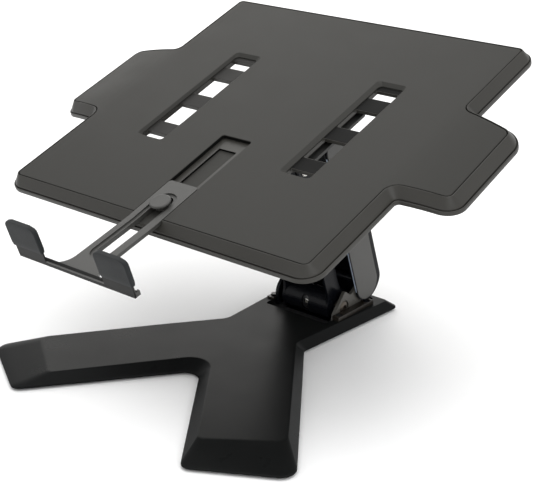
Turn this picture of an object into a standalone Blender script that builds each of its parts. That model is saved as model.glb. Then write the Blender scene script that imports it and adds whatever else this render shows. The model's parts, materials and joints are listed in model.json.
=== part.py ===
"""Notebook lift stand: a plus-shaped tray on a parallelogram arm and a Y-shaped weighted base.

World frame in metres, +Z up. The user sits at -Y. The origin is on the floor, under the middle of the
stand's bounding box. Run it with: blender --background --python part.py
"""
import math

import bmesh
import bpy
import numpy
from mathutils import Matrix, Vector

# ---------------------------------------------------------------- driving dimensions

GAP = 0.0003                      # between pieces that touch on the real stand
ROUND = 24                        # sides of small turned pieces
CORNER_STEPS = 5                  # points on each rounded corner
ORIGIN_SHIFT = 0.0060             # moves the whole stand to centre its bounding box

# Base, heights above the floor
FOOT_HEIGHT = 0.0017
SKIRT_BOTTOM = 0.0020
SKIRT_EDGE = 0.0035
PAN_BOTTOM, PAN_TOP = 0.0020, 0.0028
WEIGHT_BOTTOM, WEIGHT_TOP = 0.0031, 0.0068
BASE_CEILING = 0.0076
BASE_TOP = 0.0118
LEG_FOLD, LEG_FALL = -0.020, 0.0160        # the legs' top face slopes down in front of this y
# Right half of the two base outlines, from the crotch round to the rear: x, y, corner radius
BASE_CREASE = [(0.0, -0.0367, 0.018), (0.0800, -0.1424, 0.004), (0.1333, -0.1046, 0.008),
               (0.0377, 0.0232, 0.014), (0.0452, 0.1441, 0.004)]
BASE_EDGE = [(0.0, -0.0527, 0.012), (0.0906, -0.1725, 0.008), (0.1626, -0.1306, 0.012),
             (0.0415, 0.0300, 0.010), (0.0490, 0.156, 0.005)]
WELL = (0.0337, 0.069, 0.140)     # opening in the base cover: half width, front, rear
BARREL_WELL = (0.0270, 0.083, 0.1075)      # opening in the weight plate under the spring barrel

# Lift arm: two equal links that lean forward from the base
LIFT_Y, LIFT_Z = 0.0962, 0.0175   # lower link's pivot
REAR_OFFSET = (0.0298, 0.0140)    # from the lower link's pivot to the rear link's pivot: y, z
ARM_LENGTH = 0.144
LEAN = math.radians(19.5)
BARREL_RADIUS = 0.0142
BARREL_WALL = 0.0022
LOWER_INSIDE, LOWER_OUTSIDE = 0.0225, 0.0250
REAR_INSIDE, REAR_OUTSIDE = 0.0265, 0.0285
EAR_INSIDE, EAR_OUTSIDE = 0.0300, 0.0330
COVER_INSIDE, COVER_OUTSIDE = 0.0338, 0.0358
FLANGE_OUTSIDE = 0.0400
FLANGE_BOTTOM, FLANGE_TOP = 0.0118, 0.0155
FLANGE_SCREWS = [(-0.0366, 0.0845), (0.0366, 0.0845), (-0.0366, 0.1240), (0.0366, 0.1240)]
LOWER_HALF = 0.0080               # half depth of the lower link
REAR_HALF = 0.0090
COVER_HALF = 0.0155
LIFT_PIN, REAR_PIN, HEAD_PIN, OPEN_PIN = 0.0040, 0.0035, 0.0035, 0.0030
LIFT_BOLT_HEAD = 0.0056

# Head, from its front pivot to the tilt axis: y, z
TILT_OFFSET = (0.01781, 0.03429)
HEAD_HALF = 0.0205
TILT = math.radians(19.8)
TILT_PIN = 0.0040

# Tray, in its own plane: u to the right, v to the rear, n out of the top face
TILT_V, TILT_N = 0.1754, -0.0250
TRAY_CREASE = [(0.150, 0.0, 0.006), (0.150, 0.101, 0.011), (0.1945, 0.108, 0.006),
               (0.1932, 0.195, 0.007), (0.1488, 0.203, 0.008), (0.1488, 0.294, 0.004)]
RIM_SLOPE = (0.0062, 0.0074)      # width, drop of the rim's face
RIM_STEP = (0.0012, 0.0004)       # width, drop of the ledge under it
RIM_BOTTOM = -0.0118
PANEL_THICKNESS = 0.0030
WEB_TOP, WEB_BOTTOM = -0.0033, -0.0063
RIM_WALL, RIM_LAND, PANEL_SEAM = 0.0012, 0.0004, 0.0008
WING_U = [0.1400, 0.1527, 0.1653, 0.1781, 0.1907, 0.2060]     # fold lines of the drooping wings
WING_DROP = [0.0060 * ((u - WING_U[0]) / 0.054) ** 2 for u in WING_U]
SLOT_MOUTH = (0.0604, 0.0894, 0.0832, 0.2160)     # inner u, outer u, front v, rear v at the top face
SLOT_FLOOR = (0.0640, 0.0875, 0.0855, 0.2125)
SLOT_BEVEL = 0.0021
WINDOW_U = (0.0650, 0.0870)
WINDOW_V = [(0.0855, 0.0935), (0.1090, 0.1355), (0.1525, 0.1780), (0.1955, 0.2065)]
CHANNEL_REAR, GUIDE_REAR = 0.1075, 0.0945
PLATE_TOP, PLATE_BOTTOM = -0.0115, -0.0140
PLATE_HALF, PLATE_FRONT, PLATE_REAR = 0.066, 0.105, 0.190
PLATE_SCREWS = [(-0.050, 0.115), (0.050, 0.115), (-0.050, 0.180), (0.050, 0.180)]
LUG_INSIDE, LUG_OUTSIDE = 0.0225, 0.0255
LUG_RADIUS = 0.008

# Sliding stop, in the tray's plane
STOP_HALF, STOP_REAR, STOP_FRONT = 0.0145, 0.0427, -0.0766
STOP_SHEET = 0.0020
STOP_SPREAD, STOP_DROP = 0.0600, -0.0036
STOP_FOLD, STOP_RISE = -0.006, 0.060       # the arm rises gently in front of this v
SLOT_ENDS = (-0.0575, 0.0293)     # front and rear of the stepped slot's upper part
SLOT_HALF, SLOT_STEP, SLOT_STEP_DEPTH = 0.0092, 0.0030, 0.0012
GUIDE_HALF, GUIDE_BOTTOM = 0.0083, -0.0048
PAD = (0.0300, 0.0618, 0.0112, 0.0338)      # inner u, outer u, bottom n, top n
PAD_FRONT, PAD_REAR = -0.0777, -0.0733
KNOB_V, KNOB_RADIUS = 0.0155, 0.0086
KNOB_BOTTOM, KNOB_TOP = 0.0016, 0.0042
HUB_RADIUS, HUB_BOTTOM = 0.0050, -0.0030
STUD = 0.0025


# ---------------------------------------------------------------- scene and materials

def clear_scene():
    for old in list(bpy.data.objects):
        bpy.data.objects.remove(old, do_unlink=True)


def collection(name):
    made = bpy.data.collections.new(name)
    bpy.context.scene.collection.children.link(made)
    return made


def material(name, colour, roughness, metallic=0.0):
    made = bpy.data.materials.new(name)
    made.use_nodes = True
    shader = made.node_tree.nodes["Principled BSDF"]
    shader.inputs["Base Color"].default_value = (*colour, 1.0)
    shader.inputs["Roughness"].default_value = roughness
    shader.inputs["Metallic"].default_value = metallic
    return made


clear_scene()
STAND = collection("notebook_lift_stand")
CUTTERS = collection("cutters")
ROOT = bpy.data.objects.new("stand_root", None)
ROOT.location = (0, ORIGIN_SHIFT, 0)
STAND.objects.link(ROOT)
CHARCOAL = material("charcoal_plastic", (0.075, 0.074, 0.068), 0.45)
SATIN_BLACK = material("satin_black_steel", (0.012, 0.012, 0.014), 0.30, 0.4)
BASE_GREY = material("base_plastic", (0.045, 0.046, 0.047), 0.42)
COVER_GREY = material("cover_plastic", (0.12, 0.12, 0.115), 0.45)
RUBBER = material("rubber", (0.035, 0.040, 0.043), 0.75)
BRIGHT_STEEL = material("zinc_steel", (0.55, 0.55, 0.54), 0.30, 1.0)
DARK_STEEL = material("raw_steel", (0.10, 0.10, 0.10), 0.45, 0.9)
NYLON = material("nylon", (0.62, 0.60, 0.54), 0.55)


# ---------------------------------------------------------------- outlines

def arc(centre, radius, start, end, steps):
    """Points on an arc, angles in degrees, both ends included."""
    turns = [math.radians(start + (end - start) * i / steps) for i in range(steps + 1)]
    return [(centre[0] + radius * math.cos(t), centre[1] + radius * math.sin(t)) for t in turns]


def circle(centre, radius, sides=ROUND):
    return arc(centre, radius, 0, 360, sides)[:-1]


def mirrored(half):
    """Both halves of a symmetric list of corners; a corner on the axis is kept once."""
    return half + [(-x, y, r) for x, y, r in reversed(half) if x > 0]


def rounded(corners, steps=CORNER_STEPS):
    """Outline with each corner (x, y, radius) replaced by an arc."""
    points = []
    for i, (x, y, radius) in enumerate(corners):
        here = Vector((x, y))
        if radius == 0:
            points.append((x, y))
            continue
        back = (Vector(corners[i - 1][:2]) - here).normalized()
        ahead = (Vector(corners[(i + 1) % len(corners)][:2]) - here).normalized()
        half_angle = back.angle(ahead) / 2
        centre = here + (back + ahead).normalized() * radius / math.sin(half_angle)
        first = here + back * radius / math.tan(half_angle) - centre
        turn = first.angle_signed(here + ahead * radius / math.tan(half_angle) - centre)
        for step in range(steps + 1):
            spoke = first.copy()
            spoke.rotate(Matrix.Rotation(-turn * step / steps, 2))
            points.append(tuple(centre + spoke))
    return points


def grown(corners, distance):
    """Corners moved outward from a counter-clockwise outline; a negative distance shrinks it."""
    moved = []
    for i, (x, y, radius) in enumerate(corners):
        here = Vector((x, y))
        along_in = (here - Vector(corners[i - 1][:2])).normalized()
        along_out = (Vector(corners[(i + 1) % len(corners)][:2]) - here).normalized()
        normal_in = Vector((along_in.y, -along_in.x))
        normal_out = Vector((along_out.y, -along_out.x))
        shift = (normal_in + normal_out) * distance / (1 + normal_in.dot(normal_out))
        convex = along_in.cross(along_out) > 0
        new_radius = radius + distance if convex else radius - distance
        moved.append((x + shift.x, y + shift.y, max(new_radius, 0.001)))
    return moved


def box_outline(x0, x1, y0, y1, radius=0.0):
    return rounded([(x0, y0, radius), (x1, y0, radius), (x1, y1, radius), (x0, y1, radius)], 3)


def stadium(half, low, high, steps=8):
    """Upright slot outline with round ends, from y = low to y = high."""
    return arc((0, high - half), half, 0, 180, steps) + arc((0, low + half), half, 180, 360, steps)


def link_outline(length, eye, hub, fillet):
    """Link with a large round hub at the origin that flows into straight sides."""
    rise = math.sqrt((hub + fillet) ** 2 - (eye + fillet) ** 2)
    swing = math.degrees(math.atan2(rise, eye + fillet))
    points = arc((eye + fillet, rise), fillet, 180 + swing, 180, 4)
    points += arc((0, length), eye, 0, 180, 10)
    points += arc((-eye - fillet, rise), fillet, 0, -swing, 4)
    points += arc((0, 0), hub, 180 - swing, 360 + swing, 20)[1:-1]
    return points


# ---------------------------------------------------------------- meshes

def flat_plate(outlines, bottom, top):
    """Mesh of a flat outline, with any further outlines as holes, from z = bottom to z = top."""
    curve = bpy.data.curves.new("outline", "CURVE")
    curve.dimensions = "2D"
    curve.fill_mode = "BOTH"
    curve.extrude = (top - bottom) / 2
    for outline in outlines:
        spline = curve.splines.new("POLY")
        spline.points.add(len(outline) - 1)
        for point, (x, y) in zip(spline.points, outline):
            point.co = (x, y, 0.0, 1.0)
        spline.use_cyclic_u = True
    return mesh_of_curve(curve, Matrix.Translation((0, 0, (top + bottom) / 2)))


def mesh_of_curve(curve, placing):
    """Closed mesh of a curve: the evaluated shape with its caps welded on."""
    holder = bpy.data.objects.new("guide", curve)
    CUTTERS.objects.link(holder)
    bpy.context.view_layer.update()
    evaluated = holder.evaluated_get(bpy.context.evaluated_depsgraph_get())
    mesh = bpy.data.meshes.new_from_object(evaluated)
    bpy.data.objects.remove(holder, do_unlink=True)
    work = bmesh.new()
    work.from_mesh(mesh)
    bmesh.ops.remove_doubles(work, verts=work.verts, dist=0.000001)
    bmesh.ops.recalc_face_normals(work, faces=work.faces)
    bmesh.ops.transform(work, matrix=placing, verts=work.verts)
    work.to_mesh(mesh)
    work.free()
    return mesh


SIDEWAYS = Matrix(((0, 0, 1, 0), (1, 0, 0, 0), (0, 1, 0, 0), (0, 0, 0, 1)))


def side_plate(outlines, left, right):
    """Plate whose outline lies in the YZ plane, from x = left to x = right."""
    mesh = flat_plate(outlines, left, right)
    mesh.transform(SIDEWAYS)
    return mesh


def box_mesh(x0, x1, y0, y1, z0, z1):
    work = bmesh.new()
    middle = Matrix.Translation(((x0 + x1) / 2, (y0 + y1) / 2, (z0 + z1) / 2))
    size = Matrix.Diagonal((x1 - x0, y1 - y0, z1 - z0, 1))
    bmesh.ops.create_cube(work, size=1.0, matrix=middle @ size)
    return finished(work)


def rod_mesh(radius, low, high, sides=ROUND, placing=Matrix()):
    """Cylinder along Z from low to high, then placed."""
    work = bmesh.new()
    matrix = placing @ Matrix.Translation((0, 0, (low + high) / 2))
    bmesh.ops.create_cone(work, cap_ends=True, segments=sides, radius1=radius, radius2=radius,
                          depth=high - low, matrix=matrix)
    return finished(work)


def cross_rod(radius, y, z, left, right, sides=ROUND):
    """Cylinder along X through (y, z)."""
    return rod_mesh(radius, left, right, sides, Matrix.Translation((0, y, z)) @ SIDEWAYS)


def hull_mesh(rods, half_width):
    """Solid hull of several rods (y, z, radius) that run along X."""
    work = bmesh.new()
    for y, z, radius in rods:
        for point_y, point_z in circle((y, z), radius, 28):
            work.verts.new((half_width, point_y, point_z))
            work.verts.new((-half_width, point_y, point_z))
    hull = bmesh.ops.convex_hull(work, input=work.verts)
    spare = [v for v in hull["geom_interior"] if isinstance(v, bmesh.types.BMVert)]
    bmesh.ops.delete(work, geom=spare, context="VERTS")
    bmesh.ops.dissolve_limit(work, angle_limit=0.001, verts=work.verts, edges=work.edges)
    return finished(work)


def finished(work):
    bmesh.ops.recalc_face_normals(work, faces=work.faces)
    mesh = bpy.data.meshes.new("solid")
    work.to_mesh(mesh)
    work.free()
    return mesh


def lofted(rings):
    """Solid through outlines of equal length, given as (outline, height) from the bottom up."""
    work = bmesh.new()
    levels = [[work.verts.new((x, y, z)) for x, y in outline] for outline, z in rings]
    count = len(levels[0])
    for lower, upper in zip(levels, levels[1:]):
        for i in range(count):
            j = (i + 1) % count
            work.faces.new((lower[i], lower[j], upper[j], upper[i]))
    work.faces.new(levels[-1])
    work.faces.new(reversed(levels[0]))
    return finished(work)


# ---------------------------------------------------------------- objects

def place(name, mesh, look, parent=None, at=(0, 0, 0)):
    """Finished piece of the stand."""
    mesh.materials.clear()
    mesh.materials.append(look)
    mesh.shade_smooth()
    mesh.set_sharp_from_angle(angle=math.radians(35))
    made = bpy.data.objects.new(name, mesh)
    made.parent = parent or ROOT
    made.location = at
    STAND.objects.link(made)
    return made


def axis(name, at, tilt=0.0, parent=None):
    """Empty on a joint axis."""
    made = bpy.data.objects.new(name, None)
    made.empty_display_size = 0.02
    made.parent = parent or ROOT
    made.location = at
    made.rotation_euler = (tilt, 0, 0)
    STAND.objects.link(made)
    return made


def combine(target, mesh, operation="DIFFERENCE"):
    """Cut a mesh from the target, or join it, in the target's own coordinates."""
    tool = bpy.data.objects.new(target.name + "_tool", mesh)
    tool.parent = target.parent
    tool.location = target.location
    tool.hide_render = True
    tool.display_type = "WIRE"
    CUTTERS.objects.link(tool)
    modifier = target.modifiers.new(operation.lower(), "BOOLEAN")
    modifier.operation = operation
    modifier.solver = "EXACT"
    modifier.object = tool
    return target


def settle(target):
    """Give the object its evaluated mesh, so that the next step works on the cut shape."""
    bpy.context.view_layer.update()
    evaluated = target.evaluated_get(bpy.context.evaluated_depsgraph_get())
    target.data = bpy.data.meshes.new_from_object(evaluated)
    target.modifiers.clear()


def soften(target, width, segments=2):
    bevel = target.modifiers.new("soft_edges", "BEVEL")
    bevel.width = width
    bevel.segments = segments
    bevel.limit_method = "ANGLE"
    bevel.angle_limit = math.radians(50)
    return target


def turned(name, profile, look, parent, at, turn, closed=False, steps=ROUND):
    """Piece turned about its local Z. The profile's (radius, height) points run top to bottom."""
    mesh = bpy.data.meshes.new(name)
    points = [(radius, 0, height) for radius, height in profile]
    edges = [(i, i + 1) for i in range(len(points) - 1)]
    if closed:
        edges.append((len(points) - 1, 0))
    mesh.from_pydata(points, edges, [])
    made = place(name, mesh, look, parent, at)
    made.rotation_euler = turn
    screw = made.modifiers.new("turn", "SCREW")
    screw.axis = "Z"
    screw.steps = steps
    screw.render_steps = steps
    screw.use_merge_vertices = True
    screw.merge_threshold = 0.00005
    screw.use_smooth_shade = True
    screw.use_normal_calculate = False
    return made


ALONG_X = (0, math.radians(90), 0)
ALONG_Z = (0, 0, 0)


def washer(name, inner, outer, low, high, look, parent, at, turn=ALONG_X):
    profile = [(outer, high), (outer, low), (inner, low), (inner, high)]
    return turned(name, profile, look, parent, at, turn, closed=True)


def headed_pin(name, radius, reach, head, head_height, look, parent, at):
    """Pin along X with a head at each end, its shaft reaching from -reach to reach."""
    tip = reach + head_height
    profile = [(0, tip), (head - 0.0005, tip), (head, tip - 0.0005), (head, reach), (radius, reach),
               (radius, -reach), (head, -reach), (head, 0.0005 - tip), (head - 0.0005, -tip), (0, -tip)]
    return turned(name, profile, look, parent, at, ALONG_X)


# ---------------------------------------------------------------- base

def base_outline(inset):
    return rounded(grown(mirrored(BASE_CREASE), -inset))


def sloped_legs(mesh):
    """Fold the top face so that the legs get thinner towards the toes."""
    work = bmesh.new()
    work.from_mesh(mesh)
    bmesh.ops.bisect_plane(work, geom=work.verts[:] + work.edges[:] + work.faces[:],
                           plane_co=(0, LEG_FOLD, 0), plane_no=(0, 1, 0), dist=0.00001)
    for vertex in work.verts:
        share = max(vertex.co.z - SKIRT_EDGE, 0.0) / (BASE_TOP - SKIRT_EDGE)
        vertex.co.z -= share * LEG_FALL * max(LEG_FOLD - vertex.co.y, 0.0)
    work.to_mesh(mesh)
    work.free()
    return mesh


def build_base():
    crease = rounded(mirrored(BASE_CREASE))
    edge = rounded(mirrored(BASE_EDGE))
    shell = sloped_legs(lofted([(edge, SKIRT_BOTTOM), (edge, SKIRT_EDGE), (crease, BASE_TOP)]))
    cover = place("base_cover", shell, BASE_GREY)
    combine(cover, flat_plate([base_outline(0.0002)], -0.010, BASE_CEILING))
    half, front, rear = WELL
    combine(cover, flat_plate([box_outline(-half, half, front, rear, 0.003)], 0.0, 0.02))
    half, front, rear = BARREL_WELL
    outlines = [base_outline(0.0014), box_outline(-half, half, front, rear, 0.002)]
    weight = place("weight_plate", flat_plate(outlines, WEIGHT_BOTTOM, WEIGHT_TOP), DARK_STEEL)
    place("bottom_pan", flat_plate([base_outline(0.0008)], PAN_BOTTOM, PAN_TOP), SATIN_BLACK)
    for name, x, y in [("foot_front_left", -0.112, -0.112), ("foot_front_right", 0.112, -0.112),
                       ("foot_rear_left", -0.0335, 0.134), ("foot_rear_right", 0.0335, 0.134),
                       ("foot_centre", 0.0, 0.0)]:
        profile = [(0, FOOT_HEIGHT), (0.0085, FOOT_HEIGHT), (0.0080, 0), (0, 0)]
        turned(name, profile, RUBBER, None, (x, y, 0), ALONG_Z, steps=20)
    build_bracket(cover, weight)


def ear_outline():
    """Side of the bracket: triangular front ear, a dip, and the boss of the rear pivot."""
    rear_y = LIFT_Y + REAR_OFFSET[0]
    rear_z = LIFT_Z + REAR_OFFSET[1]
    bottom = WEIGHT_TOP + GAP
    boss = arc((rear_y, rear_z), 0.0080, 150, 0, 8)
    boss.reverse()
    front = rounded([(LIFT_Y - 0.0155, bottom, 0.0), (rear_y + 0.0080, bottom, 0.0),
                     (rear_y + 0.0080, rear_z, 0.0)])
    dip = rounded([(rear_y - 0.0069, rear_z + 0.0040, 0.0), (LIFT_Y + 0.0090, LIFT_Z + 0.0085, 0.0040),
                   (LIFT_Y + 0.0009, LIFT_Z + 0.0150, 0.0020), (LIFT_Y - 0.0139, LIFT_Z - 0.0021, 0.0)])
    return front + boss[1:-1] + dip


def build_bracket(cover, weight):
    rear_y, rear_z = LIFT_Y + REAR_OFFSET[0], LIFT_Z + REAR_OFFSET[1]
    bores = [circle((LIFT_Y, LIFT_Z), LIFT_PIN + GAP), circle((rear_y, rear_z), REAR_PIN + GAP)]
    ears = [ear_outline()] + bores
    bracket = place("hinge_bracket", side_plate(ears, EAR_INSIDE, EAR_OUTSIDE), COVER_GREY)
    combine(bracket, side_plate(ears, -EAR_OUTSIDE, -EAR_INSIDE), "UNION")
    bottom = WEIGHT_TOP + GAP
    combine(bracket, box_mesh(-EAR_INSIDE - 0.001, EAR_INSIDE + 0.001, LIFT_Y + 0.0130,
                              LIFT_Y + 0.0390, bottom, bottom + 0.0025), "UNION")
    for side in (-1, 1):
        inner, outer = sorted((side * (EAR_OUTSIDE - 0.001), side * FLANGE_OUTSIDE))
        foot = box_mesh(inner, outer, 0.0790, 0.1300, FLANGE_BOTTOM, FLANGE_TOP)
        combine(bracket, foot, "UNION")
    seat = LIFT_BOLT_HEAD + 0.0007
    for side in (-1, 1):
        combine(bracket, cross_rod(seat, LIFT_Y, LIFT_Z, side * 0.0331 - 0.0017, side * 0.0331 + 0.0017))
    for index, (x, y) in enumerate(FLANGE_SCREWS):
        seat_at = Matrix.Translation((x, y, 0))
        combine(bracket, rod_mesh(0.0031, FLANGE_TOP - 0.0021, 0.03, 16, seat_at))
        combine(bracket, rod_mesh(0.0019, 0.0, 0.03, 16, seat_at))
        combine(cover, rod_mesh(0.0019, 0.0, 0.03, 16, seat_at))
        combine(weight, rod_mesh(0.0019, 0.0, 0.03, 16, seat_at))
        low, shoulder = WEIGHT_BOTTOM + 0.0004 - FLANGE_TOP, -0.0018
        profile = [(0, -0.0003), (0.0027, -0.0003), (0.0027, shoulder), (0.0016, shoulder),
                   (0.0016, low), (0, low)]
        turned("flange_screw_%d" % (index + 1), profile, BRIGHT_STEEL, None, (x, y, FLANGE_TOP),
               ALONG_Z, steps=16)
    build_base_pins()


def build_base_pins():
    tip, seat = EAR_OUTSIDE - 0.0004, EAR_OUTSIDE - 0.0013
    head = LIFT_BOLT_HEAD
    profile = [(0, tip + 0.0008), (head * 0.5, tip + 0.0006), (head * 0.85, tip), (head, tip - 0.0006),
               (head, seat), (LIFT_PIN, seat), (LIFT_PIN, GAP - seat), (0, GAP - seat)]
    turned("lift_bolt", profile, BRIGHT_STEEL, None, (0, LIFT_Y, LIFT_Z), ALONG_X)
    nut = [(0, -seat), (head, -seat), (head, 0.0004 - tip), (head - 0.0005, -tip), (0, -tip)]
    turned("lift_nut", nut, BRIGHT_STEEL, None, (0, LIFT_Y, LIFT_Z), ALONG_X)
    rear_y, rear_z = LIFT_Y + REAR_OFFSET[0], LIFT_Z + REAR_OFFSET[1]
    pin = [(0, 0.0328), (REAR_PIN, 0.0328), (REAR_PIN, -0.0328), (0, -0.0328)]
    turned("rear_pivot_pin", pin, BRIGHT_STEEL, None, (0, rear_y, rear_z), ALONG_X)


# ---------------------------------------------------------------- lower link with its spring barrel

def build_lower_link():
    """Lower link in its own frame: y is across the link to the rear, z runs up along it."""
    pivot = axis("lift_axis", (0, LIFT_Y, LIFT_Z), LEAN)
    outline = link_outline(ARM_LENGTH, LOWER_HALF, BARREL_RADIUS, 0.020)
    holes = [circle((0, 0), 0.0063), circle((0, ARM_LENGTH), HEAD_PIN + GAP)]
    plate = [outline] + holes
    link = place("lower_link", side_plate(plate, LOWER_INSIDE, LOWER_OUTSIDE), SATIN_BLACK, pivot)
    combine(link, side_plate(plate, -LOWER_OUTSIDE, -LOWER_INSIDE), "UNION")
    reach = LOWER_INSIDE + 0.001
    sheet = arc((0, 0), BARREL_RADIUS, 80, 330, 28)
    sheet += arc((0, 0), BARREL_RADIUS - BARREL_WALL, 330, 80, 28)
    combine(link, side_plate([sheet], -reach, reach), "UNION")
    combine(link, box_mesh(-reach, reach, 0.0055, LOWER_HALF, 0.030, 0.106), "UNION")
    hole = flat_plate([stadium(0.0037, -0.0070, 0.0070)], 0.0080, 0.020)
    hole.transform(Matrix.Rotation(math.radians(90) - LEAN, 4, "X"))
    combine(link, hole)
    for name, side in (("lift_bush_left", -1), ("lift_bush_right", 1)):
        low, mid, high = LOWER_INSIDE - 0.0015, LOWER_INSIDE - GAP, LOWER_OUTSIDE
        profile = [(0.0060, high), (0.0060, mid), (0.0078, mid), (0.0078, low), (0.0043, low),
                   (0.0043, high)]
        turned(name, profile, NYLON, pivot, (0, 0, 0), (0, side * math.radians(90), 0), closed=True)
    build_spring_set(pivot)
    return pivot


def coil_mesh(mean_radius, wire, turns, start, pitch):
    """Torsion spring along X, its helix computed turn by turn."""
    per_turn = 14
    count = int(turns * per_turn) + 1
    curve = bpy.data.curves.new("coil", "CURVE")
    curve.dimensions = "3D"
    curve.bevel_depth = wire
    curve.bevel_resolution = 2
    curve.use_fill_caps = True
    spline = curve.splines.new("POLY")
    spline.points.add(count - 1)
    for i, point in enumerate(spline.points):
        angle = 2 * math.pi * i / per_turn
        x = start + pitch * i / per_turn
        point.co = (x, mean_radius * math.cos(angle), mean_radius * math.sin(angle), 1.0)
    return mesh_of_curve(curve, Matrix())


def build_spring_set(pivot):
    for name, side in (("lift_spring_left", -1), ("lift_spring_right", 1)):
        mesh = coil_mesh(0.0090, 0.0012, 4.5, side * 0.0075, side * 0.0028)
        place(name, mesh, BRIGHT_STEEL, pivot)
    ring = [(0.0115, 0.0055), (0.0115, -0.0055), (0.0043, -0.0055), (0.0043, 0.0055)]
    collar = turned("tension_collar", ring, DARK_STEEL, pivot, (0, 0, 0), ALONG_X, closed=True)
    settle(collar)
    collar.data.transform(Matrix.Rotation(math.radians(90), 4, "Y"))
    collar.rotation_euler = (0, 0, 0)
    outward = Matrix.Rotation(math.radians(90) - LEAN, 4, "X")
    combine(collar, rod_mesh(0.0032, 0.0068, 0.02, 20, outward))
    screw_axis = axis("tension_axis", (0, 0, 0), math.radians(90) - LEAN, pivot)
    screw = place("tension_screw", rod_mesh(0.0029, 0.0071, 0.0116, 20), BRIGHT_STEEL, screw_axis)
    combine(screw, rod_mesh(0.0014, 0.0096, 0.02, 6))


# ---------------------------------------------------------------- rear link and arm cover

def build_rear_link():
    """Rear link and its cover, y across the link to the rear, z up along it."""
    pivot = axis("rear_axis", (0, LIFT_Y + REAR_OFFSET[0], LIFT_Z + REAR_OFFSET[1]), LEAN)
    strap = stadium(REAR_HALF, -REAR_HALF, ARM_LENGTH + REAR_HALF, 10)
    holes = [circle((0, 0), REAR_PIN + GAP), circle((0, ARM_LENGTH), OPEN_PIN + GAP)]
    link = place("rear_link", side_plate([strap] + holes, REAR_INSIDE, REAR_OUTSIDE), SATIN_BLACK, pivot)
    combine(link, side_plate([strap] + holes, -REAR_OUTSIDE, -REAR_INSIDE), "UNION")
    reach = REAR_INSIDE + 0.001
    combine(link, box_mesh(-reach, reach, 0.0065, REAR_HALF - 0.0005, 0.022, 0.128), "UNION")
    shell = stadium(COVER_HALF, -COVER_HALF, ARM_LENGTH + COVER_HALF, 12)
    cover = place("arm_cover", side_plate([shell], -COVER_OUTSIDE, COVER_OUTSIDE), COVER_GREY, pivot)
    hollow = COVER_HALF - 0.0020
    bottom = arc((0, 0), hollow, 0, -45, 5)
    bottom.reverse()
    far = 0.030
    inside = bottom + [(hollow, ARM_LENGTH - 0.002), (far, ARM_LENGTH - 0.002), (far, ARM_LENGTH + far),
                       (-far, ARM_LENGTH + far), (-far, -far), (far * 0.7, -far * 0.7)]
    combine(cover, side_plate([inside], -COVER_INSIDE, COVER_INSIDE))
    rearward = Matrix.Rotation(math.radians(-90), 4, "X")
    for index, height in enumerate((0.040, 0.110)):
        seat = Matrix.Translation((0, 0, height)) @ rearward
        combine(link, rod_mesh(0.0045, REAR_HALF - 0.0015, hollow - GAP, 18, seat), "UNION")
        combine(link, rod_mesh(0.0019, 0.0, 0.03, 16, seat))
        combine(cover, rod_mesh(0.0019, 0.0, 0.03, 16, seat))
        top = COVER_HALF + 0.0002
        profile = [(0, 0.0016), (0.0030, 0.0010), (0.0032, GAP), (0.0016, GAP), (0.0016, -0.0080),
                   (0, -0.0080)]
        turned("cover_screw_%d" % (index + 1), profile, DARK_STEEL, pivot, (0, top, height),
               (math.radians(-90), 0, 0), steps=16)
    return pivot


# ---------------------------------------------------------------- head

def build_head(lower_axis):
    """Head block in its own frame, which stays upright; returns the tilt axis."""
    pivot = axis("head_axis", (0, 0, ARM_LENGTH), -LEAN, lower_axis)
    rods = [(0, 0, 0.0075), (*REAR_OFFSET, 0.0070), (*TILT_OFFSET, 0.0080)]
    block = place("head_block", hull_mesh(rods, HEAD_HALF), SATIN_BLACK, pivot)
    for (y, z, _), pin in zip(rods, (HEAD_PIN, OPEN_PIN, TILT_PIN)):
        combine(block, cross_rod(pin + GAP, y, z, -0.05, 0.05))
    headed_pin("head_front_pin", HEAD_PIN, LOWER_OUTSIDE + GAP, 0.0050, 0.0009, BRIGHT_STEEL, pivot,
               (0, 0, 0))
    headed_pin("head_rear_pin", OPEN_PIN, REAR_OUTSIDE + GAP, 0.0045, 0.0012, BRIGHT_STEEL, pivot,
               (0, *REAR_OFFSET))
    return axis("tilt_axis", (0, *TILT_OFFSET), TILT, pivot)


# ---------------------------------------------------------------- tray

def droop_wings(target):
    """Bend both wings down in narrow flat strips past the straight middle of the tray."""
    work = bmesh.new()
    work.from_mesh(target.data)
    for fold in WING_U[:-1]:
        for at in ((fold, 0, 0), (-fold, 0, 0)):
            bmesh.ops.bisect_plane(work, geom=work.verts[:] + work.edges[:] + work.faces[:],
                                   plane_co=at, plane_no=(1, 0, 0), dist=0.00001)
    for vertex in work.verts:
        vertex.co.z -= numpy.interp(abs(vertex.co.x), WING_U, WING_DROP)
    work.to_mesh(target.data)
    work.free()


def tray_outline(distance):
    return rounded(grown(mirrored(TRAY_CREASE), distance))


def rim_solid():
    """Tray frame as one loft: up the outside of the rim, over its edge and down to the web."""
    step_width, step_drop = RIM_STEP
    slope_width, slope_drop = RIM_SLOPE
    outside = tray_outline(slope_width + step_width)
    cavity, pocket = tray_outline(-RIM_WALL), tray_outline(-RIM_LAND)
    return lofted([(cavity, WEB_BOTTOM), (cavity, RIM_BOTTOM), (outside, RIM_BOTTOM),
                   (outside, -slope_drop - step_drop), (tray_outline(slope_width), -slope_drop),
                   (tray_outline(0.0), 0.0), (pocket, 0.0), (pocket, WEB_TOP)])


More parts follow.
